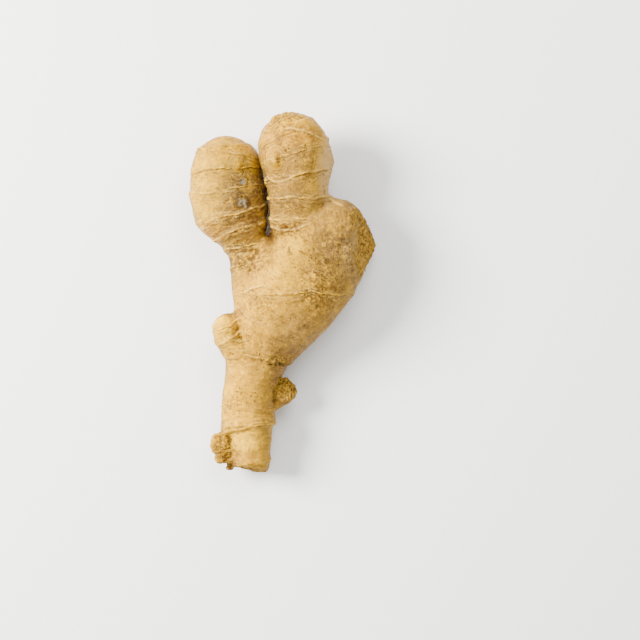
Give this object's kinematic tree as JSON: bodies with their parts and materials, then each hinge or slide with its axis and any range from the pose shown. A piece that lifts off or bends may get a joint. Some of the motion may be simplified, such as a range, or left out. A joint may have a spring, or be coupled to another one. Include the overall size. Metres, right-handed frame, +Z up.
{
  "type": "ginger root",
  "caption": "Fresh ginger rhizome, a flattened branching hand with two blunt fingers, a broad body and a narrow broken end, ringed by leaf scars.",
  "frame": {"origin": "middle of the plan outline's box, on the surface that the rhizome lies on", "axes": "+X across the hand towards the broken shoulder, +Y along the hand towards the two fingers' tips, +Z up from the flattened underside"},
  "size_m": [0.0841, 0.162, 0.0393],
  "materials": {
    "ginger_skin": "thin papery tan skin, satin, matt and corky on scars"
  },
  "bodies": {
    "root": {"rhizome": "ginger_skin"}
  },
  "joints": []
}
